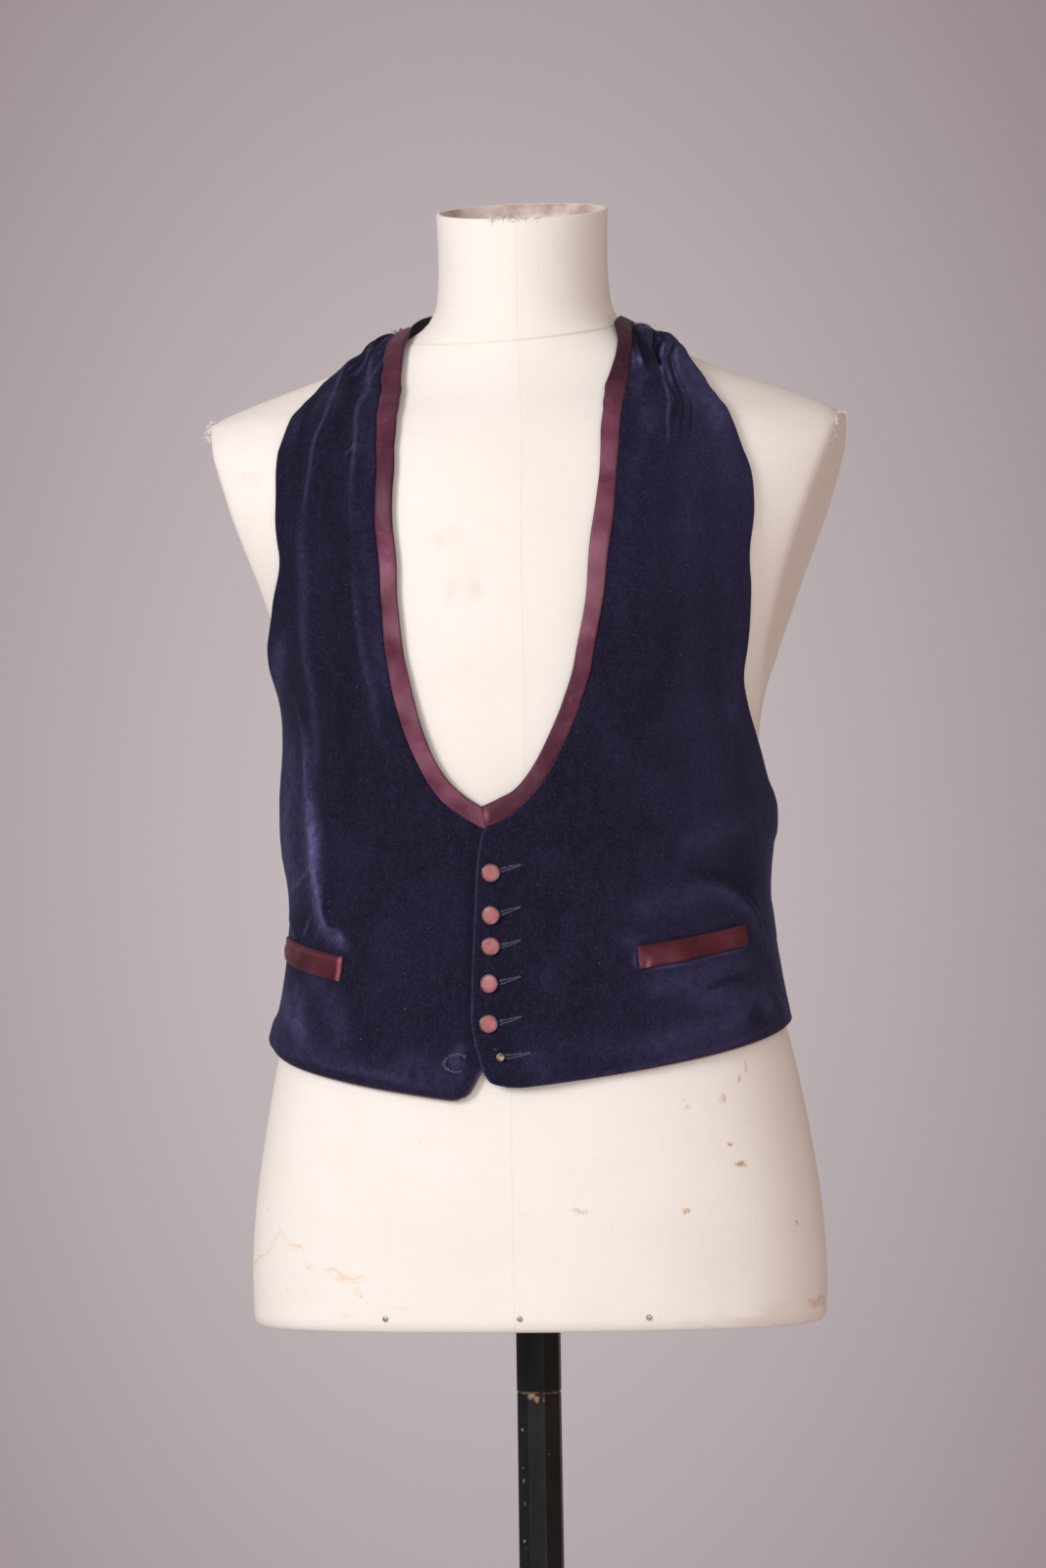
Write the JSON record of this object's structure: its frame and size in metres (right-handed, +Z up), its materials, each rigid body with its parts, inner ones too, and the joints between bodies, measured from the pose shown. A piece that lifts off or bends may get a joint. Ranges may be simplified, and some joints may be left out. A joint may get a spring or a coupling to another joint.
{
  "type": "tuxedo waistcoat on a dress form",
  "caption": "Backless velvet evening waistcoat with a deep satin-bound neckline, on a limbless linen dress form with its pole and base.",
  "frame": {"origin": "on the floor, on the pole's axis, at the middle of the base's underside", "axes": "+Z up along the pole; the waistcoat's front faces -Y; +X towards the wearer's left"},
  "size_m": [0.4556, 0.4, 1.6038],
  "materials": {
    "form_linen": "cream linen with age stains",
    "velvet": "midnight-blue cotton velvet, nap worn in places",
    "satin": "plum satin",
    "button": "faded rose satin over a shell, dark rim",
    "shank": "dull",
    "strap": "black ribbon",
    "wire": "black, thin",
    "tack": "nickel, dulled",
    "stand_paint": "black gloss paint, chipped at the joint"
  },
  "bodies": {
    "root": {"form_torso": "form_linen", "left_front": "velvet", "right_front": "velvet", "left_binding": "satin", "right_binding": "satin", "left_welt": "satin", "right_welt": "satin", "button_1": "button", "button_2": "button", "button_3": "button", "button_4": "button", "button_5": "button", "button_shank": "shank", "neck_strap": "strap", "waist_strap": "strap", "strap_ring": "wire", "strap_slide": "wire", "form_tack_1": "tack", "form_tack_2": "tack", "form_tack_3": "tack", "pole_upper": "stand_paint", "pole_lower": "stand_paint", "stand_base": "stand_paint"}
  },
  "joints": []
}
